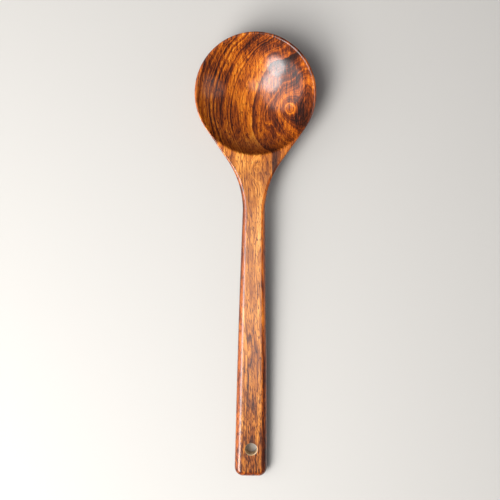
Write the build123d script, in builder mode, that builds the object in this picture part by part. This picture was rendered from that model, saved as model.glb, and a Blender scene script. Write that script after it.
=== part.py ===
from build123d import *
from math import cos, degrees, radians, sin, sqrt
import os

# A wooden cooking ladle carved from one piece of board: a round bowl, a short flare and a
# long handle that widens to a squared end with a hanging hole. Millimetres, +Z up, the
# length along Y with the bowl at +Y. It lies as it rests on a table, on the back of the
# bowl and on the underside of the handle's end.

# ---- bowl -------------------------------------------------------------------------------
bowl_radius = 46.0          # outside, at the rim
bowl_depth = 27.0           # rim plane to the lowest point of the back
lip_round = 0.8             # outer edge of the lip
hollow_half_width = 44.4    # hollow just under the rim, across
hollow_half_length = 45.5   # hollow just under the rim, along
hollow_depth = 21.5
hollow_shift = 1.3          # the hollow sits this much nearer the handle
rim_round = 0.4             # worn inner edge of the lip
scoop_over = 5.0            # the scooping body reaches this far over the rim

# ---- flare and handle -------------------------------------------------------------------
reach = 294.0               # bowl centre to the end of the handle
flare_angle = 35.3          # side of the flare, away from the length
cheek_radius = 67.0         # concave side between flare and neck
neck_at = 89.0              # narrowest place, from the bowl centre
neck_half_width = 8.65
end_half_width = 12.5
handle_swell = 0.55         # how much of the widening comes early along the handle
end_thickness = 11.0
corner_round = 6.5          # corners of the end, seen from above
end_round = 3.4             # upper and lower edges of the end
end_ease = 8.0              # length of handle that the easing may touch
waste_width = 50.0          # block from which the eased end is cut out
waste_height = 44.0
skin = 0.05                 # the easing starts this far off the handle's faces
bend_from = 50.0            # the top stays flat to here, then lifts slightly to the end
proud = 0.1                 # the flat top is this hair higher than the lip, as a plane leaves it

# ---- hanging hole -----------------------------------------------------------------------
hole_radius = 4.6
hole_from_end = 21.6
drill_reach = 33.0          # long enough to pass the whole handle

# ---- how it lies ------------------------------------------------------------------------
rest_tilt = 4.0             # the far side of the rim is higher by this angle
bowl_y = 123.67
rest_point = 292.1          # where the handle touches the table, from the bowl centre

# Sections of flare and handle. For each distance from the bowl centre: how far the edge
# stays inside the outline, how far the top stays under the rim plane, thickness, radius of
# the top shoulders, fullness of the sides, how far the sides lean inwards, and fullness of
# the underside. The first two are buried in the bowl.
stations = {
    24.0: (1.5, 1.0, 19.0, 0.9, 0.58, 9.4, 0.38),
    28.0: (0.5, 0.3, 18.2, 0.9, 0.59, 8.8, 0.38),
    32.0: (0.0, -proud, 16.6, 0.9, 0.60, 8.0, 0.39),
    36.0: (0.0, -proud, 14.9, 1.0, 0.60, 7.2, 0.40),
    40.0: (0.0, -proud, 13.6, 1.1, 0.60, 6.3, 0.42),
    45.0: (0.0, -proud, 12.7, 1.3, 0.61, 5.1, 0.44),
    50.3: (0.0, -proud, 12.1, 1.5, 0.62, 3.9, 0.46),
    59.0: (0.0, -proud, 11.5, 1.8, 0.63, 2.4, 0.50),
    69.0: (0.0, -proud, 11.1, 2.2, 0.64, 1.3, 0.54),
    79.0: (0.0, -proud, 10.8, 2.6, 0.65, 0.6, 0.57),
    89.0: (0.0, -proud, 10.6, 2.9, 0.66, 0.3, 0.59),
    120.0: (0.0, -proud, 10.6, 3.3, 0.67, 0.1, 0.61),
    160.0: (0.0, -proud, 10.7, 3.7, 0.69, 0.0, 0.63),
    200.0: (0.0, -proud, 10.8, 4.0, 0.70, 0.0, 0.65),
    240.0: (0.0, -proud, 11.0, 4.3, 0.72, 0.0, 0.67),
    270.0: (0.0, -proud, 11.1, 4.5, 0.74, 0.0, 0.68),
    294.0: (0.0, -proud, 11.1, 4.6, 0.74, 0.0, 0.68),
}

tilt = radians(rest_tilt)
flare = radians(flare_angle)
back_drop = bowl_depth - lip_round
back_radius = (bowl_radius**2 + back_drop**2) / (2 * back_drop)
scoop_drop = hollow_depth - rim_round
scoop_radius = (hollow_half_width**2 + scoop_drop**2) / (2 * scoop_drop)
edge_x = hollow_half_width + rim_round

# The rim plane: its origin is the bowl centre, at the height that sets the back on z = 0.
rim_z = back_radius - (back_radius - bowl_depth) * cos(tilt)
rim = Plane(origin=(0, bowl_y, rim_z), x_dir=(1, 0, 0), z_dir=(0, -sin(tilt), cos(tilt)))

# Lift of the handle's top over the rim plane that sets the end's underside on z = 0.
rest_drop = (rim_z - rest_point * sin(tilt)) / cos(tilt)
bend_span = reach - bend_from
end_lift = (end_thickness - rest_drop) * (bend_span / (rest_point - bend_from)) ** 2


def half_width(s):
    """Half the width at a distance s from the bowl centre towards the handle."""
    leave_x = bowl_radius * cos(flare)
    leave_s = bowl_radius * sin(flare)
    cheek_x = neck_half_width + cheek_radius
    join_x = cheek_x - cheek_radius * cos(flare)
    join_s = neck_at - cheek_radius * sin(flare)
    if s <= leave_s:
        return sqrt(bowl_radius**2 - s**2)
    if s <= join_s:
        return leave_x + (join_x - leave_x) * (s - leave_s) / (join_s - leave_s)
    if s <= neck_at:
        return cheek_x - sqrt(cheek_radius**2 - (neck_at - s) ** 2)
    along = (s - neck_at) / (reach - neck_at)
    widening = along * (1 + handle_swell * (1 - along))
    return neck_half_width + (end_half_width - neck_half_width) * widening


def top_height(s):
    """Height of the top face over the rim plane at a distance s from the bowl centre."""
    return end_lift * (max(0.0, s - bend_from) / bend_span) ** 2


def cross_plane(s, height=0.0):
    """Plane across the length at a distance s from the bowl centre, facing the end."""
    origin = rim.from_local_coords((0, -s, height))
    return Plane(origin=origin, x_dir=rim.x_dir, z_dir=-rim.y_dir)


with BuildPart() as scoop:
    # The hollow: a cap of a sphere under a small rolled edge, drawn out along the length.
    with BuildSketch(Plane.XZ):
        with BuildLine():
            Line((0, scoop_over), (edge_x, scoop_over))
            Line((edge_x, scoop_over), (edge_x, 0))
            RadiusArc((edge_x, 0), (hollow_half_width, -rim_round), -rim_round)
            RadiusArc((hollow_half_width, -rim_round), (0, -hollow_depth), scoop_radius)
            Line((0, -hollow_depth), (0, scoop_over))
        make_face()
    revolve(axis=Axis.Z)
    scale(by=(1, hollow_half_length / hollow_half_width, 1))

# Frame at the handle's end, half way through its thickness and along its own slope.
end_slope = degrees(2 * end_lift / bend_span)
end_middle = Location((0, -reach, end_lift - end_thickness / 2), (-end_slope, 0, 0))

with BuildPart() as eased_block:
    # A block the size of the handle's end with its corners and edges rounded.
    Box(
        2 * (end_half_width + skin),
        2 * end_ease,
        end_thickness + 4 * skin,
        align=(Align.CENTER, Align.MIN, Align.CENTER),
    )
    fillet(eased_block.edges().filter_by(Axis.Z).group_by(Axis.Y)[0], radius=corner_round)
    brink = eased_block.faces().sort_by(Axis.Z)
    end_edges = [edge for face in (brink[0], brink[-1]) for edge in face.edges().sort_by(Axis.Y)[0:3]]
    fillet(end_edges, radius=end_round)

with BuildPart() as end_waste:
    # What the easing takes away: everything round that block over the last few millimetres.
    with Locations((0, end_ease, 0)):
        Box(
            waste_width,
            waste_width,
            waste_height,
            align=(Align.CENTER, Align.MAX, Align.CENTER),
        )
    add(eased_block.part, mode=Mode.SUBTRACT)

with BuildPart() as spoon:
    # The back of the bowl is a cap of a sphere under the rounded lip.
    with BuildSketch(cross_plane(0)):
        with BuildLine():
            Line((0, 0), (bowl_radius - lip_round, 0))
            RadiusArc((bowl_radius - lip_round, 0), (bowl_radius, -lip_round), lip_round)
            RadiusArc((bowl_radius, -lip_round), (0, -bowl_depth), back_radius)
            Line((0, -bowl_depth), (0, 0))
        make_face()
    revolve(axis=Axis(rim.origin, rim.z_dir))

    # Flare and handle run through flat-topped sections with rounded sides; the first ones
    # start inside the bowl, so the back grows out of it.
    for s, (inset, sink, thick, shoulder, side, lean, under) in stations.items():
        w = half_width(s) - inset
        knee = -shoulder - side * (thick - shoulder)
        with BuildSketch(cross_plane(s, top_height(s) - sink)):
            with BuildLine():
                Line((shoulder - w, 0), (w - shoulder, 0))
                RadiusArc((w - shoulder, 0), (w, -shoulder), shoulder)
                Bezier((w, -shoulder), (w - lean, knee), (under * w, -thick), (0, -thick))
                Bezier((0, -thick), (-under * w, -thick), (lean - w, knee), (-w, -shoulder))
                RadiusArc((-w, -shoulder), (shoulder - w, 0), shoulder)
            make_face()
    loft()

    # The end is eased all round.
    with Locations(rim * end_middle):
        add(end_waste.part, mode=Mode.SUBTRACT)

    # The scooped hollow.
    with Locations(rim * Location((0, -hollow_shift, 0))):
        add(scoop.part, mode=Mode.SUBTRACT)

    # The hanging hole, square to the top of the handle.
    hole_at = reach - hole_from_end
    hole_slope = 2 * top_height(hole_at) / (hole_at - bend_from)
    hole_middle = Location((0, -hole_at, top_height(hole_at) - end_thickness / 2))
    with Locations(rim * hole_middle * Location((0, 0, 0), (-degrees(hole_slope), 0, 0))):
        Cylinder(hole_radius, drill_reach, mode=Mode.SUBTRACT)
spoon.part.label = "spoon"

os.makedirs("parts", exist_ok=True)
export_step(spoon.part, "parts/spoon.step")
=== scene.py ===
# %% [markdown]
# # A carved wooden cooking ladle
#
# The object is one piece of close-grained wood: a round bowl, a short flare and a long
# handle with a hanging hole. A carver saws the outline out of a board, scoops the bowl,
# rounds everything with a knife and scraper, and finishes it with a clear gloss lacquer.
# This lesson follows the same order: saw a flat blank, carve it by rule with Geometry
# Nodes, give it the wood and the lacquer, then set the light and the camera.

# %% Load the measured frame
from math import atan2, cos, hypot, pi, radians, sin, sqrt

import bmesh
import bpy
import numpy as np
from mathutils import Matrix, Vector


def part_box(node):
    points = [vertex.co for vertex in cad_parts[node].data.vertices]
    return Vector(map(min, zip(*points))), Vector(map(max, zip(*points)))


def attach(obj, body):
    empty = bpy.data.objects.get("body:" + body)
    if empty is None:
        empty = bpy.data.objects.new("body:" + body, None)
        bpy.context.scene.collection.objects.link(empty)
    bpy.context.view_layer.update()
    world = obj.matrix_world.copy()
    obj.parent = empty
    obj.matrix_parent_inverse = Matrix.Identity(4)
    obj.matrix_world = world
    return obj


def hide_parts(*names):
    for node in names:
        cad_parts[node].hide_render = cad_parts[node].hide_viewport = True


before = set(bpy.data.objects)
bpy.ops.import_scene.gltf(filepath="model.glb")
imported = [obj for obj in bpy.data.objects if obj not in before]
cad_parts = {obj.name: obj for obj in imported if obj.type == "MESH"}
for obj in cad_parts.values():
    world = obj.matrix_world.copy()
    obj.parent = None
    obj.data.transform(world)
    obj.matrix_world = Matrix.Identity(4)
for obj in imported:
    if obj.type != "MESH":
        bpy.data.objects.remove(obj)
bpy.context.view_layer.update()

low, high = (Vector(corner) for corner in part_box("spoon"))
print("ladle box in mm:", [round(1000 * v, 1) for v in (*low, *high)])

# %% [markdown]
# ## The sizes that drive everything
#
# All lengths are metres. The bowl's radius comes from the frame's box, and the bowl
# centre follows from it, because the rim's far edge is the highest and furthest point.
# `s` is the distance from the bowl centre towards the handle, along the rim plane.

# %% Driving sizes
MM = 0.001
TILT = radians(4.0)                      # the rim leans up at the far side
BOWL_RADIUS = (high.x - low.x) / 2
BOWL_Y = high.y - BOWL_RADIUS * cos(TILT) + 0.05 * MM
LIP = 0.8 * MM                           # rounding of the lip's outer edge
BOWL_DEPTH = 27.0 * MM
HOLLOW_HALF_WIDTH = 44.4 * MM
HOLLOW_HALF_LENGTH = 45.5 * MM
HOLLOW_DEPTH = 21.5 * MM
HOLLOW_SHIFT = 1.3 * MM                  # the hollow sits this much nearer the handle
REACH = 294.0 * MM                       # bowl centre to the handle's end
FLARE_ANGLE = radians(35.3)
CHEEK_RADIUS = 67.0 * MM                 # concave side between flare and neck
NECK_AT = 89.0 * MM
NECK_HALF_WIDTH = 8.65 * MM
END_HALF_WIDTH = 12.5 * MM
HANDLE_SWELL = 0.55
CORNER_ROUND = 6.5 * MM
BEND_FROM = 50.0 * MM                    # the top is flat to here, then lifts slightly
END_LIFT = 4.33 * MM
HOLE_RADIUS = 4.6 * MM
HOLE_AT = REACH - 21.6 * MM
HOLE_LEAN = 2 * END_LIFT * (HOLE_AT - BEND_FROM) / (REACH - BEND_FROM) ** 2
BACK_RADIUS = (BOWL_RADIUS**2 + (BOWL_DEPTH - LIP) ** 2) / (2 * (BOWL_DEPTH - LIP))
SCOOP_RADIUS = (HOLLOW_HALF_WIDTH**2 + HOLLOW_DEPTH**2) / (2 * HOLLOW_DEPTH)
RIM_Z = BACK_RADIUS - (BACK_RADIUS - BOWL_DEPTH) * cos(TILT)
print("bowl radius", round(BOWL_RADIUS / MM, 2), "bowl centre y", round(BOWL_Y / MM, 2))
print("back radius", round(BACK_RADIUS / MM, 2), "scoop radius", round(SCOOP_RADIUS / MM, 2))

# %% [markdown]
# ## The outline
#
# Seen from above, the outline is a circle, a straight flare that leaves it as a tangent,
# a concave cheek, and a handle that widens slowly to a squared end with round corners.
# One function gives half the width at any distance, so every part of the blank agrees.

# %% Half the width along the ladle
LEAVE_X = BOWL_RADIUS * cos(FLARE_ANGLE)
LEAVE_S = BOWL_RADIUS * sin(FLARE_ANGLE)
CHEEK_X = NECK_HALF_WIDTH + CHEEK_RADIUS
JOIN_X = CHEEK_X - CHEEK_RADIUS * cos(FLARE_ANGLE)
JOIN_S = NECK_AT - CHEEK_RADIUS * sin(FLARE_ANGLE)


def half_width(s):
    """Half the outline's width at a distance s from the bowl centre."""
    if s <= LEAVE_S:
        return sqrt(max(0.0, BOWL_RADIUS**2 - s**2))
    if s <= JOIN_S:
        return LEAVE_X + (JOIN_X - LEAVE_X) * (s - LEAVE_S) / (JOIN_S - LEAVE_S)
    if s <= NECK_AT:
        return CHEEK_X - sqrt(CHEEK_RADIUS**2 - (NECK_AT - s) ** 2)
    along = (s - NECK_AT) / (REACH - NECK_AT)
    width = NECK_HALF_WIDTH + (END_HALF_WIDTH - NECK_HALF_WIDTH) * along * (
        1 + HANDLE_SWELL * (1 - along))
    corner = max(0.0, s - (REACH - CORNER_ROUND))
    return width - CORNER_ROUND + sqrt(max(0.0, CORNER_ROUND**2 - corner**2))


print("widths in mm:", [round(2000 * half_width(s * MM), 1) for s in (0, 50, 89, 190, 280)])

# %% [markdown]
# ## The sawn blank
#
# The blank is two flat sheets of quads, an upper and a lower one, that share the outline.
# Its lines already run where the carving needs them: a ribbon follows the whole outline
# and its lines crowd towards the edge, where the shoulders turn; rings follow the hollow;
# rows follow the handle; and more rings go round the hanging hole. Python lays them out,
# because this is a drawing and not a rule. Each vertex notes its `level`, 1 on top and 0
# below, and its distance from the `edge`, which later decides how far it is rounded.

# %% Templates along the length, as shares of the reach
# The shoulder's radius is given as shares of 6 mm. The ribbon is a little wider than it.
SHOULDER_UNIT = 6 * MM
SHOULDER_POINTS = [(0.0, LIP / SHOULDER_UNIT), (0.09, LIP / SHOULDER_UNIT), (0.15, 0.20), (0.22, 0.35),
                   (0.30, 0.52), (0.45, 0.64), (0.7, 0.72), (1.0, 0.75)]
BOWL_RIBBON = 1.0 * MM
SPARE = 12 * MM                          # edge distance noted away from the ribbon


def ribbon_width(s):
    """Width of the ribbon that holds the shoulder, at a distance s from the bowl centre."""
    if s >= 0.75 * REACH:
        return CORNER_ROUND
    places, shares = zip(*SHOULDER_POINTS)
    shoulder = float(np.interp(s / REACH, places, shares)) * SHOULDER_UNIT
    return max(BOWL_RIBBON, min(CORNER_ROUND, 1.12 * shoulder + 0.1 * MM))


# %% The outline's points and their inward directions, on the right-hand side
COLUMNS = 40                             # even columns of the handle's middle
EDGE_STEPS = 10                          # lines that crowd towards the outline
FREE_STEPS, FLARE_STEPS, HANDLE_STEPS, END_STEPS, CORNER_STEPS = 76, 52, 150, 9, 8
HOLE_BLOCK = END_HALF_WIDTH - CORNER_ROUND
block_start, block_end = HOLE_AT - HOLE_BLOCK, HOLE_AT + HOLE_BLOCK
corner_s = REACH - CORNER_ROUND

rim_angles = np.linspace(pi, pi / 2 - FLARE_ANGLE, FREE_STEPS + 1)
flare_s = list(np.linspace(LEAVE_S, NECK_AT, FLARE_STEPS + 1))[1:]
handle_s = list(np.linspace(NECK_AT, block_start, HANDLE_STEPS + 1))[1:]
block_s = list(np.linspace(block_start, block_end, COLUMNS + 1))
tail_s = list(np.linspace(block_end, corner_s, END_STEPS + 1))[1:]


def side_point(s):
    """A point of the flare's or handle's side and its inward direction."""
    step = 0.01 * MM
    ahead = min(s + step, corner_s)
    slope = (half_width(ahead) - half_width(s - step)) / (ahead - s + step)
    length = hypot(1, slope)
    return (half_width(s), s), (-1 / length, slope / length)


right_side = []
for a in rim_angles:
    right_side.append(((BOWL_RADIUS * sin(a), BOWL_RADIUS * cos(a)), (-sin(a), -cos(a)), BOWL_RIBBON))
for s in flare_s + handle_s + block_s[1:] + tail_s:
    right_side.append((*side_point(s), ribbon_width(s)))
right_side[-1] = ((half_width(corner_s), corner_s), (-1, 0), CORNER_ROUND)
end_half = half_width(corner_s) - CORNER_ROUND
for turn in np.linspace(0, pi / 2, CORNER_STEPS + 1)[1:]:
    out_x, out_s = cos(turn), sin(turn)
    corner_point = (end_half + CORNER_ROUND * out_x, corner_s + CORNER_ROUND * out_s)
    right_side.append((corner_point, (-out_x, -out_s), CORNER_ROUND))
end_columns = np.linspace(end_half, -end_half, COLUMNS + 1)
for x in end_columns[1:-1]:
    right_side.append(((x, REACH), (0, -1), CORNER_ROUND))
turned_corner = FREE_STEPS + FLARE_STEPS + HANDLE_STEPS + COLUMNS + END_STEPS + CORNER_STEPS
left_side = [((-p[0], p[1]), (-n[0], n[1]), w) for p, n, w in right_side[:turned_corner + 1]]
outline = right_side + left_side[::-1]


def crowd(steps):
    """Shares from 0 to 1 that lie closest together near 0."""
    return [1 - cos(pi / 2 * i / steps) for i in range(steps + 1)]


def ribbon_point(entry, share):
    """The point of the ribbon at a share of its width, inwards from the outline."""
    (x, s), (inward_x, inward_s), width = entry
    return x + inward_x * width * share, s + inward_s * width * share


# %% Patches of the blank
vertices, levels, edges, faces = [], [], [], []


def add_patch(rows, level, edge=None, flip=False):
    """Adds a grid of (x, s) points as quads. Level and edge may be one value per row."""
    first, count = len(vertices), len(rows[0])
    for i, row in enumerate(rows):
        for j, (x, s) in enumerate(row):
            vertices.append((x, -s, 0.0))
            levels.append(level[i] if isinstance(level, list) else level)
            edges.append(edge[i][j] if edge else SPARE)
    for i in range(len(rows) - 1):
        for j in range(count - 1):
            a = first + i * count + j
            quad = (a, a + count, a + count + 1, a + 1)
            faces.append(quad[::-1] if flip else quad)


def both_sheets(rows):
    """Adds the same grid to the upper sheet and, turned over, to the lower one."""
    add_patch(rows, 1.0)
    add_patch(rows, 0.0, flip=True)


# %% The ribbon along the whole outline
shares = crowd(EDGE_STEPS)
ribbon_rows = [[ribbon_point(entry, share) for entry in outline] for share in shares]
ribbon_edges = [[entry[2] * share for entry in outline] for share in shares]
add_patch(ribbon_rows, 1.0, ribbon_edges)
add_patch(ribbon_rows, [1.0] + [0.0] * EDGE_STEPS, ribbon_edges, flip=True)
inside = [ribbon_point(entry, 1.0) for entry in right_side]
print("outline points:", len(outline), "ribbon quads:", 2 * EDGE_STEPS * (len(outline) - 1))


# %% The bowl's rings
# Rays run from the hollow's centre. In the flare they end on a ring just outside the
# hollow; elsewhere they end on the ribbon.
def hollow_edge(angle, outside=0.0):
    """Point on the hollow's oval edge, or outside it; the angle is 0 towards the handle."""
    radius = outside + 1 / hypot(sin(angle) / HOLLOW_HALF_WIDTH, cos(angle) / HOLLOW_HALF_LENGTH)
    return radius * sin(angle), HOLLOW_SHIFT + radius * cos(angle)


def between(start, end, share):
    """The point at a share of the way from a start to an end."""
    return tuple(p + share * (q - p) for p, q in zip(start, end))


HOLLOW_RINGS, RIM_RINGS = 34, 8
LIP_BAND = 2.0 * MM                      # finer rings start this far inside the hollow's edge
FLARE_BULGE = 2.0 * MM                   # the ring's extra room in the middle of the flare
free_ends = inside[:FREE_STEPS + 1]
leave_angle = atan2(free_ends[-1][0], free_ends[-1][1] - HOLLOW_SHIFT)
leave_edge = hollow_edge(leave_angle)
leave_gap = (hypot(free_ends[-1][0], free_ends[-1][1] - HOLLOW_SHIFT)
             - hypot(leave_edge[0], leave_edge[1] - HOLLOW_SHIFT))
flare_ends = []
for angle in np.linspace(leave_angle, -leave_angle, COLUMNS + 1):
    bulge = FLARE_BULGE * (1 - (angle / leave_angle) ** 2)
    flare_ends.append(hollow_edge(angle, leave_gap + bulge))
ray_ends = free_ends + flare_ends[1:-1] + [(-x, s) for x, s in free_ends[::-1]]
ray_edges = [hollow_edge(atan2(x, s - HOLLOW_SHIFT), -LIP_BAND) for x, s in ray_ends]
bowl_rows = []
for share in [i / HOLLOW_RINGS for i in range(HOLLOW_RINGS)]:
    bowl_rows.append([(share * x, HOLLOW_SHIFT + share * (s - HOLLOW_SHIFT)) for x, s in ray_edges])
for share in [i / RIM_RINGS for i in range(RIM_RINGS + 1)]:
    bowl_rows.append([between(inner, outer, share) for inner, outer in zip(ray_edges, ray_ends)])
both_sheets(bowl_rows[::-1])
print("rings:", len(bowl_rows), "rays:", len(ray_ends))


# %% The flare's middle
# A Coons patch fills this four-sided piece: the bowl's outer ring above, the neck below,
# and the ribbon on both sides.
def middle_row(entry):
    """Even columns between the ribbons, right to left."""
    return [(x, entry[1]) for x in np.linspace(entry[0], -entry[0], COLUMNS + 1)]


flare_inside = inside[FREE_STEPS:FREE_STEPS + FLARE_STEPS + 1]
neck_row = middle_row(flare_inside[-1])
flare_rows = []
for i, (side_x, side_s) in enumerate(flare_inside):
    v = i / FLARE_STEPS
    row = []
    for j in range(COLUMNS + 1):
        u = j / COLUMNS
        rails = between(flare_ends[j], neck_row[j], v)
        sides = between((side_x, side_s), (-side_x, side_s), u)
        right_corner = between(flare_ends[0], neck_row[0], v)
        left_corner = between(flare_ends[-1], neck_row[-1], v)
        corners = between(right_corner, left_corner, u)
        row.append(tuple(r + d - c for r, d, c in zip(rails, sides, corners)))
    flare_rows.append(row)
both_sheets([row[::-1] for row in flare_rows])

# %% The handle's middle, with room left for the hanging hole
handle_start = FREE_STEPS + FLARE_STEPS
block_index = handle_start + HANDLE_STEPS
corner_index = block_index + COLUMNS + END_STEPS
both_sheets([middle_row(entry)[::-1] for entry in inside[handle_start:block_index + 1]])
both_sheets([middle_row(entry)[::-1] for entry in inside[block_index + COLUMNS:corner_index + 1]])

# %% Rings round the hanging hole, and its wall
block = [middle_row(entry)[::-1] for entry in inside[block_index:block_index + COLUMNS + 1]]
border = block[0][:-1] + [row[-1] for row in block][:-1]
border += block[-1][::-1][:-1] + [row[0] for row in block][::-1]
HOLE_WEAR = 0.5 * MM                     # rounding of the hole's two edges
HOLE_THICKNESS = 11.0 * MM               # the handle's thickness there
HOLE_RINGS, WALL_STEPS = 14, 10


def hole_point(towards, level):
    """Point of the hole's wall facing a border point; the axis leans with the handle."""
    axis_s = HOLE_AT + (0.5 - level) * HOLE_THICKNESS * HOLE_LEAN
    bearing = atan2(towards[1] - HOLE_AT, towards[0])
    return HOLE_RADIUS * cos(bearing), axis_s + HOLE_RADIUS * sin(bearing)


for level in (1.0, 0.0):
    rings = []
    for share in crowd(HOLE_RINGS):
        ring = []
        for towards in border:
            ring.append(between(hole_point(towards, level), towards, share))
        rings.append(ring)
    add_patch(rings, level, flip=(level == 1.0))
wall_levels = [1 - i / WALL_STEPS for i in range(WALL_STEPS + 1)]
add_patch([[hole_point(t, level) for t in border] for level in wall_levels], wall_levels)
widths = [max(0.1 * MM, half_width(min(-y, REACH))) for x, y, z in vertices]
print("blank:", len(vertices), "vertices,", len(faces), "faces")

# %% The blank as a mesh that carries its notes
blank = bpy.data.meshes.new("ladle_blank")
blank.from_pydata(vertices, [], faces)
for name, values in (("level", levels), ("edge", edges), ("half_width", widths)):
    layer = blank.attributes.new(name, "FLOAT", "POINT")
    layer.data.foreach_set("value", np.array(values, dtype=np.float32))
ladle = bpy.data.objects.new("ladle", blank)
bpy.context.collection.objects.link(ladle)

# %% [markdown]
# ## Carving by rule
#
# The ladle's shape follows a few rules: the hollow and the back are caps of spheres, the
# shoulders are arcs, and the underside of the handle is a squared oval whose thickness
# follows a template. Geometry Nodes hold these rules, so any of them can be changed by one
# input and the whole ladle is carved again. Templates that vary along the length, such as
# thickness, are Float Curves, as a carver would draw them on the side of the board.

# %% One function adds a node
def add(tree, kind, *inputs, **settings):
    """Adds a node, sets its settings, and fills its inputs with values or links."""
    node = tree.nodes.new(kind)
    for name, value in settings.items():
        setattr(node, name, value)
    for socket, value in zip(node.inputs, inputs):
        if value is None:
            continue
        if isinstance(value, bpy.types.Node):
            value = value.outputs[0]
        if isinstance(value, bpy.types.NodeSocket):
            tree.links.new(value, socket)
        else:
            socket.default_value = value
    return node


def template(node, points):
    """Sets the points of a Float Curve or RGB Curve node's curve."""
    curve = node.mapping.curves[-1]
    while len(curve.points) < len(points):
        curve.points.new(0.5, 0.5)
    for point, (x, y) in zip(curve.points, points):
        point.location = (x, y)
    node.mapping.update()


# %% The carving tree and its named inputs
carve = bpy.data.node_groups.new("carve_ladle", "GeometryNodeTree")
carve.interface.new_socket("Geometry", in_out="OUTPUT", socket_type="NodeSocketGeometry")
carve.interface.new_socket("Geometry", in_out="INPUT", socket_type="NodeSocketGeometry")
CARVE_SIZES = {
    "Reach": REACH, "Bend From": BEND_FROM, "End Lift": END_LIFT,
    "Hollow Depth": HOLLOW_DEPTH, "Hollow Radius": SCOOP_RADIUS, "Hollow Shift": HOLLOW_SHIFT,
    "Hollow Squeeze": HOLLOW_HALF_WIDTH / HOLLOW_HALF_LENGTH,
    "Back Depth": BOWL_DEPTH, "Back Radius": BACK_RADIUS, "Rim Wear": 0.7 * MM,
    "Hole At": HOLE_AT, "Hole Radius": HOLE_RADIUS, "Hole Wear": HOLE_WEAR,
    "Unevenness": 0.16 * MM, "Tilt": TILT, "Bowl Y": BOWL_Y, "Rim Height": RIM_Z,
}
for name, value in CARVE_SIZES.items():
    carve.interface.new_socket(name, in_out="INPUT", socket_type="NodeSocketFloat")
carve.interface.new_socket("Wood", in_out="INPUT", socket_type="NodeSocketMaterial")
given = add(carve, "NodeGroupInput").outputs

# The Math node serves every rule below, so its name and its operations get short names.
M, VECTOR, MAP = "ShaderNodeMath", "ShaderNodeVectorMath", "ShaderNodeMapRange"
ADD, SUB, MUL, DIV, POW = "ADD", "SUBTRACT", "MULTIPLY", "DIVIDE", "POWER"
SMOOTH = "SMOOTHSTEP"

# %% Where each vertex is: along, across, and how far inside the outline
place = add(carve, "ShaderNodeSeparateXYZ", add(carve, "GeometryNodeInputPosition")).outputs
x_at = place["X"]
s_at = add(carve, M, place["Y"], -1.0, operation=MUL)
noted = {}
for name in ("level", "edge", "half_width"):
    note = add(carve, "GeometryNodeInputNamedAttribute", name, data_type="FLOAT")
    noted[name] = note.outputs["Attribute"]
part = add(carve, M, s_at, given["Reach"], operation=DIV, use_clamp=True)
x_size = add(carve, M, x_at, operation="ABSOLUTE")
sideways = add(carve, M, x_size, noted["half_width"], operation=DIV, use_clamp=True)

# %% Templates along the length
# The curves read from the bowl centre (0) to the handle's end (1). Values are shares of
# 20 mm for thickness, 6 mm for the shoulders and 4 for the squareness of the underside.
THICK_UNIT = 20 * MM
SQUARE_UNIT = 4.0
thick_curve = add(carve, "ShaderNodeFloatCurve", 1.0, part)
template(thick_curve, [
    (0.0, 0.04), (0.045, 0.05), (0.075, 0.92), (0.095, 0.90), (0.115, 0.80), (0.135, 0.70), (0.155, 0.64),
    (0.18, 0.605), (0.23, 0.565), (0.30, 0.535), (0.45, 0.53), (0.7, 0.535), (1.0, 0.555)])
thick = add(carve, M, thick_curve, THICK_UNIT, operation=MUL)
shoulder_curve = add(carve, "ShaderNodeFloatCurve", 1.0, part)
template(shoulder_curve, SHOULDER_POINTS)
shoulder = add(carve, M, shoulder_curve, SHOULDER_UNIT, operation=MUL)
square_curve = add(carve, "ShaderNodeFloatCurve", 1.0, part)
template(square_curve, [
    (0.0, 0.34), (0.11, 0.35), (0.15, 0.40), (0.22, 0.46), (0.3, 0.54), (1.0, 0.62)])
square = add(carve, M, square_curve, SQUARE_UNIT, operation=MUL)

# %% The upper face: flat, lifted gently towards the end, with rounded shoulders
past_bend = add(carve, M, s_at, given["Bend From"], operation=SUB)
bend_span = add(carve, M, given["Reach"], given["Bend From"], operation=SUB)
bent = add(carve, M, past_bend, bend_span, operation=DIV, use_clamp=True)
lift = add(carve, M, add(carve, M, bent, 2.0, operation=POW), given["End Lift"], operation=MUL)


def arc_drop(size, gap):
    """How far a rounding of a given size has dropped at a gap from its edge."""
    into = add(carve, M, add(carve, M, size, gap, operation=SUB), 0.0, operation="MAXIMUM")
    size_squared = add(carve, M, size, 2.0, operation=POW)
    into_squared = add(carve, M, into, 2.0, operation=POW)
    squares = add(carve, M, size_squared, into_squared, operation=SUB)
    rest = add(carve, M, add(carve, M, squares, 0.0, operation="MAXIMUM"), operation="SQRT")
    return add(carve, M, size, rest, operation=SUB)


flat = add(carve, M, lift, arc_drop(shoulder, noted["edge"]), operation=SUB)

# %% The hollow and the back: caps of spheres
def cap_height(across_at, along_at, radius, depth):
    """Height of a bowl-shaped cap of a sphere whose lowest point is depth below the rim."""
    across_squared = add(carve, M, across_at, 2.0, operation=POW)
    along_squared = add(carve, M, along_at, 2.0, operation=POW)
    plan = add(carve, M, across_squared, along_squared, operation=ADD)
    under_root = add(carve, M, add(carve, M, radius, 2.0, operation=POW), plan, operation=SUB)
    drop = add(carve, M, add(carve, M, under_root, 0.0, operation="MAXIMUM"), operation="SQRT")
    return add(carve, M, add(carve, M, radius, depth, operation=SUB), drop, operation=SUB)


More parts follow.
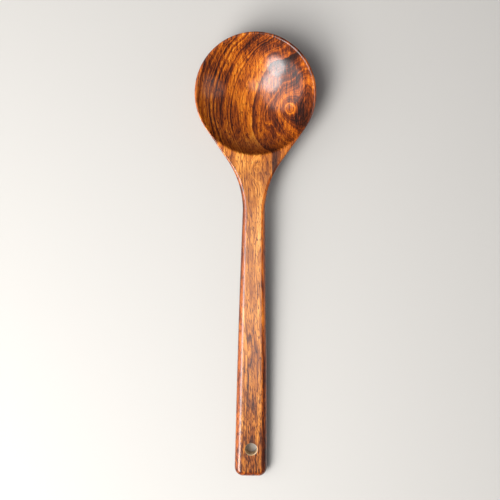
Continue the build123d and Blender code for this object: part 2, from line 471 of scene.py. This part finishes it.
s_size = add(carve, M, s_at, operation="ABSOLUTE")
from_hollow = add(carve, M, add(carve, M, s_at, given["Hollow Shift"], operation=SUB), operation="ABSOLUTE")
s_hollow = add(carve, M, from_hollow, given["Hollow Squeeze"], operation=MUL)
hollow = cap_height(x_size, s_hollow, given["Hollow Radius"], given["Hollow Depth"])
back = cap_height(x_size, s_size, given["Back Radius"], given["Back Depth"])
upper = add(carve, M, flat, hollow, given["Rim Wear"], operation="SMOOTH_MIN")

# %% The underside: a squared oval that grows out of the bowl's back
# Over the last few millimetres the end closes by the same kind of curve. Towards the
# handle the oval and the back are blended ever more widely, up to 9 mm.
END_ROUNDING = 4.5 * MM
END_SQUARENESS = 2.2
BLEND_START, BLEND_END, BLEND_WIDTH = 10 * MM, 26 * MM, 9 * MM
oval = add(carve, M, add(carve, M, 1.0, add(carve, M, sideways, square, operation=POW), operation=SUB),
           add(carve, M, 1.0, square, operation=DIV), operation=POW)
left_to_end = add(carve, M, given["Reach"], s_at, operation=SUB)
to_end = add(carve, M, left_to_end, END_ROUNDING, operation=DIV, use_clamp=True)
end_power = add(carve, M, add(carve, M, 1.0, to_end, operation=SUB), END_SQUARENESS, operation=POW)
end_oval = add(carve, M, add(carve, M, 1.0, end_power, operation=SUB), 1 / END_SQUARENESS, operation=POW)
below_shoulder = add(carve, M, thick, shoulder, operation=SUB)
body = add(carve, M, below_shoulder, add(carve, M, oval, end_oval, operation=MUL), operation=MUL)
under = add(carve, M, add(carve, M, lift, shoulder, operation=SUB), body, operation=SUB)
growing = add(carve, MAP, s_at, BLEND_START, BLEND_END, 0.0, BLEND_WIDTH, interpolation_type=SMOOTH)
fading = add(carve, M, add(carve, M, 1.0, sideways, operation=SUB), growing, operation=MUL)
lower = add(carve, M, back, under, fading, operation="SMOOTH_MIN")

# %% The hanging hole's worn edges, then the height of every vertex
hole_y = add(carve, M, given["Hole At"], -1.0, operation=MUL)
hole_centre = add(carve, "ShaderNodeCombineXYZ", 0.0, hole_y, 0.0)
place_now = add(carve, "GeometryNodeInputPosition")
from_hole = add(carve, VECTOR, place_now, hole_centre, operation="DISTANCE")
hole_gap = add(carve, M, from_hole.outputs["Value"], given["Hole Radius"], operation=SUB)
hole_drop = arc_drop(given["Hole Wear"], add(carve, M, hole_gap, 0.0, operation="MAXIMUM"))
upper_worn = add(carve, M, upper, hole_drop, operation=SUB)
lower_worn = add(carve, M, lower, hole_drop, operation=ADD)
height = add(carve, "ShaderNodeMix", data_type="FLOAT")
carve.links.new(noted["level"], height.inputs[0])
carve.links.new(lower_worn.outputs[0], height.inputs[2])
carve.links.new(upper_worn.outputs[0], height.inputs[3])
carved = add(carve, "GeometryNodeSetPosition", given["Geometry"], True,
             add(carve, "ShaderNodeCombineXYZ", x_at, place["Y"], height))
closed = add(carve, "GeometryNodeMergeByDistance", carved, True)
closed.inputs["Distance"].default_value = 0.002 * MM

# %% Scraper marks, the resting pose and the finish
# A hand scraper leaves a surface that is flat only to about a tenth of a millimetre. Noise
# with swells about 26 mm apart pushes the surface in and out along its normal.
SWELLS_PER_METRE = 38.0
waves = add(carve, "ShaderNodeTexNoise", None, None, SWELLS_PER_METRE, 1.0, 0.4)
push = add(carve, M, add(carve, M, waves, 0.5, operation=SUB), given["Unevenness"], operation=MUL)
outward = add(carve, VECTOR, add(carve, "GeometryNodeInputNormal"), None, None, push, operation="SCALE")
scraped = add(carve, "GeometryNodeSetPosition", closed, True, None, outward)
laid = add(carve, "GeometryNodeTransform", scraped)
resting_place = add(carve, "ShaderNodeCombineXYZ", 0.0, given["Bowl Y"], given["Rim Height"])
resting_turn = add(carve, "ShaderNodeCombineXYZ", given["Tilt"])
carve.links.new(resting_place.outputs[0], laid.inputs["Translation"])
carve.links.new(resting_turn.outputs[0], laid.inputs["Rotation"])
smooth = add(carve, "GeometryNodeSetShadeSmooth", laid)
real = add(carve, "GeometryNodeRealizeInstances", smooth)
add(carve, "NodeGroupOutput", add(carve, "GeometryNodeSetMaterial", real, True, given["Wood"]))
print("carving tree:", len(carve.nodes), "nodes")

# %% [markdown]
# ## The wood
#
# The board is a dense hardwood with dark and light growth layers, stained a warm orange
# brown and finished with a clear gloss lacquer. The eye sees two things at once: the deep,
# uneven bands of the wood, and over them one clean, smooth sheet of reflections. So the
# wood itself is rough and dull here, and a clear coat gives the shine, apart from a satin
# sheen and some shade that are painted into the colour.
#
# The figure is solid: flat layers lean through the board, and the carver's cuts show them
# as straight stripes on the handle and as curved bands and ovals inside the bowl. A flat
# map could not follow the cuts, so the colour comes from a 3-D pattern in Object
# coordinates, turned into the board's own directions and measured in millimetres.

# %% Colours from hex
def linear(code):
    """A linear colour from an sRGB hex code."""
    parts = [int(code[i:i + 2], 16) / 255 for i in (0, 2, 4)]
    return [p / 12.92 if p <= 0.04045 else ((p + 0.055) / 1.055) ** 2.4 for p in parts] + [1.0]


def fill_stops(node, stops):
    """Sets the stops of a Color Ramp node from (position, hex) pairs."""
    elements = node.color_ramp.elements
    while len(elements) < len(stops):
        elements.new(0.5)
    for element, (position, code) in zip(elements, stops):
        element.position = position
        element.color = linear(code)


# %% Board coordinates, in millimetres from the bowl centre at rim height
wood = bpy.data.materials.new("stained_hardwood_clear_lacquer")
wood.use_nodes = True
grain = wood.node_tree
grain.nodes.clear()
object_at = add(grain, "ShaderNodeTexCoord").outputs["Object"]
from_centre = add(grain, VECTOR, object_at, (0.0, BOWL_Y, RIM_Z), operation=SUB)
levelled = add(grain, "ShaderNodeVectorRotate", from_centre, rotation_type="X_AXIS")
levelled.inputs["Angle"].default_value = -TILT
board = add(grain, VECTOR, levelled, operation="SCALE")
board.inputs["Scale"].default_value = 1 / MM
board_at = add(grain, "ShaderNodeSeparateXYZ", board).outputs
handle_mask = add(grain, MAP, board_at["Y"], -30.0, -62.0, 0.0, 1.0, interpolation_type=SMOOTH)


# Growth layers, clouds and bends are 3 to 80 mm wide and show as they are. Real fibres are
# a few hundredths of a millimetre wide and pores one or two tenths, too fine to show from
# here, so fibres are drawn 1 mm wide and 14 mm long, and pores 0.7 mm wide and 4 mm long.
def stretched_noise(per_mm, detail, roughness, seed=0.0, shear=0.0):
    """3-D noise whose features per millimetre differ across, along and through the board."""
    source = board
    if shear:
        sideways_by = add(grain, M, board_at["Y"], shear, operation=MUL)
        source = add(grain, VECTOR, board, add(grain, "ShaderNodeCombineXYZ", sideways_by), operation=ADD)
    scaled = add(grain, VECTOR, source, per_mm, operation=MUL)
    shifted = add(grain, VECTOR, scaled, (seed, seed, seed), operation=ADD)
    return add(grain, "ShaderNodeTexNoise", shifted, None, 1.0, detail, roughness)


# %% The layer coordinate
# Layers lean 43 degrees across the board. Slow noise bends them, and small swellings bend
# them into figures: a round and a tall eye in the bowl, a faint oval on the flare, and a
# wedge half way down the handle. Each line gives a swelling's place across and along the
# board, its width, its length and its height, in millimetres.
LAYER_LEAN = (-0.62, 0.0, 0.66)
FIGURES = (
    (24.0, -9.0, 8.0, 9.0, -5.0),
    (8.5, -17.0, 3.4, 9.0, -2.2),
    (-1.0, -57.0, 6.0, 9.0, -5.0),
    (-1.0, -190.0, 2.2, 22.0, 2.6),
)


def swelling(x, y, width, length, height):
    """A bell-shaped swelling of the layers, in millimetres."""
    from_top = add(grain, VECTOR, board, (x, y, 0.0), operation=SUB)
    apart = add(grain, VECTOR, from_top, (1 / width, 1 / length, 0.0), operation=MUL)
    squared = add(grain, VECTOR, apart, apart, operation="DOT_PRODUCT").outputs["Value"]
    bell = add(grain, M, add(grain, M, squared, -1.0, operation=MUL), operation="EXPONENT")
    return add(grain, M, bell, height, operation=MUL)


lean = add(grain, VECTOR, board, LAYER_LEAN, operation="DOT_PRODUCT").outputs["Value"]
past_flare = add(grain, M, board_at["Y"], -45.0, operation=SUB)
bowl_only = add(grain, M, past_flare, 0.0, 40.0, operation="SMOOTH_MAX")
layers = add(grain, M, lean, add(grain, M, bowl_only, 0.14, operation=MUL), operation=ADD)
bend = stretched_noise((0.035, 0.012, 0.035), 2.0, 0.5, seed=4.0)
layers = add(grain, M, layers, add(grain, M, bend, 9.0, operation=MUL), operation=ADD)
ripple = stretched_noise((0.30, 0.05, 0.30), 1.0, 0.5, seed=9.0)
layers = add(grain, M, layers, add(grain, M, ripple, 0.9, operation=MUL), operation=ADD)
for figure_sizes in FIGURES:
    layers = add(grain, M, layers, swelling(*figure_sizes), operation=ADD)
print("figures in the grain:", len(FIGURES))

# %% Growth layers, fibres and pores
layer_place = add(grain, M, layers, 3.0, operation=ADD)
bands = add(grain, "ShaderNodeTexNoise", None, layer_place, 0.28, 4.0, 0.72, noise_dimensions="1D")
fibres = stretched_noise((0.9, 0.07, 0.28), 3.0, 0.65, seed=2.0, shear=0.04)
cloud = stretched_noise((0.05, 0.022, 0.05), 2.0, 0.5, seed=12.0)
pores = stretched_noise((1.5, 0.24, 0.7), 2.0, 0.6, seed=6.0, shear=0.12)
figure = 0.0
for pattern, share in ((bands, 0.54), (fibres, 0.34), (cloud, 0.30)):
    figure = add(grain, M, add(grain, M, pattern, share, operation=MUL), figure, operation=ADD)

# %% Tone, painted shade and painted sheen along and across the board, from the bowl's far edge to the handle's end
# Besides its own tone, the board is painted darker at the bowl's far side and at the tail,
# as painted shade, and palest at the flare, as a painted sheen.
along_board = add(grain, MAP, board_at["Y"], BOWL_RADIUS / MM, -REACH / MM, 0.0, 1.0)
tone_and_painted_light = add(grain, "ShaderNodeFloatCurve", 1.0, along_board)
template(tone_and_painted_light, [
    (0.0, 0.36), (0.07, 0.42), (0.13, 0.52), (0.22, 0.50), (0.28, 0.60), (0.38, 0.60), (0.45, 0.44),
    (0.53, 0.49), (0.72, 0.50), (0.94, 0.40), (1.0, 0.44)])
tone_and_painted_light_shift = add(grain, M, add(grain, M, tone_and_painted_light, 0.5, operation=SUB), 0.30, operation=MUL)
figure = add(grain, M, add(grain, M, figure, 0.09, operation=SUB), tone_and_painted_light_shift, operation=ADD)
# Towards the right, away from the lights, everything is painted a little darker: painted shade.
painted_shade_right_side = add(grain, MAP, board_at["X"], 6.0, 34.0, 0.0, 0.035, interpolation_type=SMOOTH)
figure = add(grain, M, figure, painted_shade_right_side, operation=SUB)
# The handle's right shoulder is painted darker than its top: painted shade on the side turned from the
# lights.
painted_shade_right_shoulder = add(grain, MAP, board_at["X"], 5.5, 9.5, 0.0, 0.055, interpolation_type=SMOOTH)
figure = add(grain, M, figure, add(grain, M, painted_shade_right_shoulder, handle_mask, operation=MUL), operation=SUB)

# %% The stained colours: deep in the bowl, paler on the handle, partly its own colour and partly a painted satin sheen
bowl_colour = add(grain, "ShaderNodeValToRGB", figure)
fill_stops(bowl_colour, [
    (0.37, "260b03"), (0.44, "642705"), (0.50, "a34c07"), (0.56, "cd6f10"), (0.64, "ea9a34")])
handle_colour_and_sheen = add(grain, "ShaderNodeValToRGB", figure)
fill_stops(handle_colour_and_sheen, [
    (0.39, "46200a"), (0.45, "874514"), (0.50, "b0671f"), (0.55, "ca8030"), (0.62, "e0a050")])
wood_colour = add(grain, "ShaderNodeMix", data_type="RGBA")
grain.links.new(handle_mask.outputs[0], wood_colour.inputs[0])
grain.links.new(bowl_colour.outputs[0], wood_colour.inputs[6])
grain.links.new(handle_colour_and_sheen.outputs[0], wood_colour.inputs[7])

# %% Painted shade on the hollow's wall, and pores
# The hollow's steep wall near the handle, turned from the lights, is darkened as painted shade.
near_wall = add(grain, MAP, board_at["Y"], -24.0, -44.0, 0.0, 1.0, interpolation_type=SMOOTH)
in_hollow = add(grain, MAP, board_at["Z"], -0.3, -1.5, 0.0, 1.0)
painted_wall_shade = add(grain, "ShaderNodeMix", data_type="RGBA", blend_type="MULTIPLY")
grain.links.new(add(grain, M, near_wall, in_hollow, operation=MUL).outputs[0], painted_wall_shade.inputs[0])
grain.links.new(wood_colour.outputs[2], painted_wall_shade.inputs[6])
painted_wall_shade.inputs[7].default_value = linear("9a8478")

# Pores are short dark dashes. They crowd towards the handle's end, where the fibres run out.
to_tail = add(grain, MAP, board_at["Y"], -200.0, -262.0, 0.0, 0.07, interpolation_type=SMOOTH)
pore_height = add(grain, M, pores, to_tail, operation=ADD)
pore_mask = add(grain, MAP, pore_height, 0.54, 0.64, 0.0, 0.85, interpolation_type=SMOOTH)
pored = add(grain, "ShaderNodeMix", data_type="RGBA", blend_type="MULTIPLY")
grain.links.new(pore_mask.outputs[0], pored.inputs[0])
grain.links.new(painted_wall_shade.outputs[2], pored.inputs[6])
pored.inputs[7].default_value = linear("6a3413")

# %% The handle's edges are a warmer orange than its top, painted as wood without the top's sheen, and the wall of the hole is bare pale wood
edge_note = add(grain, "ShaderNodeAttribute", attribute_name="edge").outputs["Fac"]
at_edge = add(grain, MAP, edge_note, 4.4 * MM, 3.0 * MM, 0.0, 1.0, interpolation_type=SMOOTH)
edge_mask = add(grain, M, at_edge, handle_mask, operation=MUL)
edges_painted_warm = add(grain, "ShaderNodeMix", data_type="RGBA", blend_type="MULTIPLY")
grain.links.new(edge_mask.outputs[0], edges_painted_warm.inputs[0])
grain.links.new(pored.outputs[2], edges_painted_warm.inputs[6])
edges_painted_warm.inputs[7].default_value = linear("ecc478")
from_hole_centre = add(grain, VECTOR, board, (0.0, HOLE_AT / MM, 0.0), operation=ADD)
hole_apart = add(grain, VECTOR, from_hole_centre, (1.0, 1.0, 0.0), operation=MUL)
hole_distance = add(grain, VECTOR, hole_apart, operation="LENGTH").outputs["Value"]
hole_mm = HOLE_RADIUS / MM
bare_mask = add(grain, MAP, hole_distance, hole_mm + 0.35, hole_mm + 0.15, 0.0, 1.0)
finished = add(grain, "ShaderNodeMix", data_type="RGBA")
grain.links.new(bare_mask.outputs[0], finished.inputs[0])
grain.links.new(edges_painted_warm.outputs[2], finished.inputs[6])
finished.inputs[7].default_value = linear("c2a478")

# %% The shader: dull stained wood under a clear lacquer coat, with a faint fibre relief
surface = add(grain, "ShaderNodeBsdfPrincipled", finished.outputs[2])
surface.inputs["Roughness"].default_value = 0.55
surface.inputs["Coat Weight"].default_value = 1.0
surface.inputs["Coat Roughness"].default_value = 0.18
surface.inputs["Coat IOR"].default_value = 1.5
surface.inputs["Specular IOR Level"].default_value = 0.1
relief = add(grain, "ShaderNodeBump")
relief.inputs["Strength"].default_value = 0.25
relief.inputs["Distance"].default_value = 0.1 * MM
grain.links.new(fibres.outputs[0], relief.inputs["Height"])
grain.links.new(relief.outputs[0], surface.inputs["Normal"])
add(grain, "ShaderNodeOutputMaterial", surface)
print("wood:", len(grain.nodes), "nodes")

# %% [markdown]
# ## Carve the blank and hand it to the frame
#
# The modifier's inputs are set by socket identifier, the carved result becomes a plain
# mesh, and the mesh stands for the CAD node, which stays behind it for collision.

# %% Run the carving tree
carver = ladle.modifiers.new("carve", "NODES")
carver.node_group = carve
for item in carve.interface.items_tree:
    if item.in_out == "INPUT" and item.name in CARVE_SIZES:
        carver[item.identifier] = CARVE_SIZES[item.name]
    if item.in_out == "INPUT" and item.name == "Wood":
        carver[item.identifier] = wood
evaluated = ladle.evaluated_get(bpy.context.evaluated_depsgraph_get())
carved_mesh = bpy.data.meshes.new_from_object(evaluated)
ladle.modifiers.remove(carver)
ladle.data = carved_mesh
ladle.data.name = "ladle"
bpy.data.meshes.remove(blank)
for name in ("level", "half_width"):
    if name in carved_mesh.attributes:
        carved_mesh.attributes.remove(carved_mesh.attributes[name])
bm = bmesh.new()
bm.from_mesh(carved_mesh)
open_edges = [e for e in bm.edges if not e.is_manifold]
print("carved:", len(bm.verts), "vertices,", len(bm.faces), "faces, open edges:", len(open_edges),
      "volume cm3:", round(bm.calc_volume(signed=True) * 1e6, 2))
bm.free()
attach(ladle, "root")
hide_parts("spoon")

# %% [markdown]
# ## The studio
#
# A wooden ladle on a table is seen best under a few large soft lights. A round softbox
# low at the handle's left draws the bright spot in the hollow, a tall one draws the line
# along the handle's left shoulder, and a wide dim one lights everything else. Overhead,
# a small one lays a satin haze on the flat top. The camera looks straight down. The ladle
# lies on matt paper, which takes a soft shadow and mirrors nothing.

# %% The floor, a 40 m sheet, so that its edge stays out of sight from low down
floor_mesh = bpy.data.meshes.new("floor")
floor_mesh.from_pydata([(-20, -20, 0), (20, -20, 0), (20, 20, 0), (-20, 20, 0)], [], [(0, 1, 2, 3)])
floor = bpy.data.objects.new("floor", floor_mesh)
bpy.context.collection.objects.link(floor)
paper = bpy.data.materials.new("matt_paper")
paper.use_nodes = True
paper.node_tree.nodes["Principled BSDF"].inputs["Base Color"].default_value = linear("b8b5b0")
paper.node_tree.nodes["Principled BSDF"].inputs["Roughness"].default_value = 0.9
floor_mesh.materials.append(paper)

# %% The room: dim, slightly blue grey all round
ROOM_LIGHT = 0.6
world = bpy.data.worlds.new("studio")
bpy.context.scene.world = world
world.use_nodes = True
world.node_tree.nodes["Background"].inputs[0].default_value = linear("8a8a90")
world.node_tree.nodes["Background"].inputs[1].default_value = ROOM_LIGHT


# %% The softboxes: direction from the ladle, distance, width and height in metres, watts
def softbox(name, direction, distance, width, height, power):
    """An oval softbox that faces the ladle from a direction."""
    light = bpy.data.lights.new(name, "AREA")
    light.shape, light.size, light.size_y, light.energy = "ELLIPSE", width, height, power
    lamp = bpy.data.objects.new(name, light)
    bpy.context.collection.objects.link(lamp)
    away = Vector(direction).normalized()
    lamp.location = away * distance
    lamp.rotation_euler = (-away).to_track_quat("-Z", "Y").to_euler()


softbox("key", (-0.507, -0.579, 0.638), 1.1, 0.54, 0.54, 9.0)
softbox("strip", (-0.42, -0.24, 0.88), 1.1, 0.48, 0.60, 7.2)
softbox("side", (-0.66, -0.18, 0.73), 1.1, 1.5, 1.6, 12.5)
softbox("top", (0.0, -0.18, 0.98), 1.3, 0.46, 0.34, 1.1)
softbox("fill", (0.95, 0.0, 0.30), 1.2, 0.5, 1.2, 1.2)

# %% The camera, 76 cm above the floor, turned so that the handle leans a little
CAMERA_PLACE = (-0.0027, 0.0053, 0.7605)
camera_data = bpy.data.cameras.new("camera")
camera = bpy.data.objects.new("camera", camera_data)
bpy.context.collection.objects.link(camera)
camera_data.sensor_width = 36
camera_data.lens = 70
camera.location = CAMERA_PLACE
camera.rotation_euler = (0.0, 0.0, radians(0.70))
bpy.context.scene.camera = camera
bpy.context.scene.view_settings.view_transform = "Standard"
print("camera height in mm:", round(CAMERA_PLACE[2] / MM, 1))
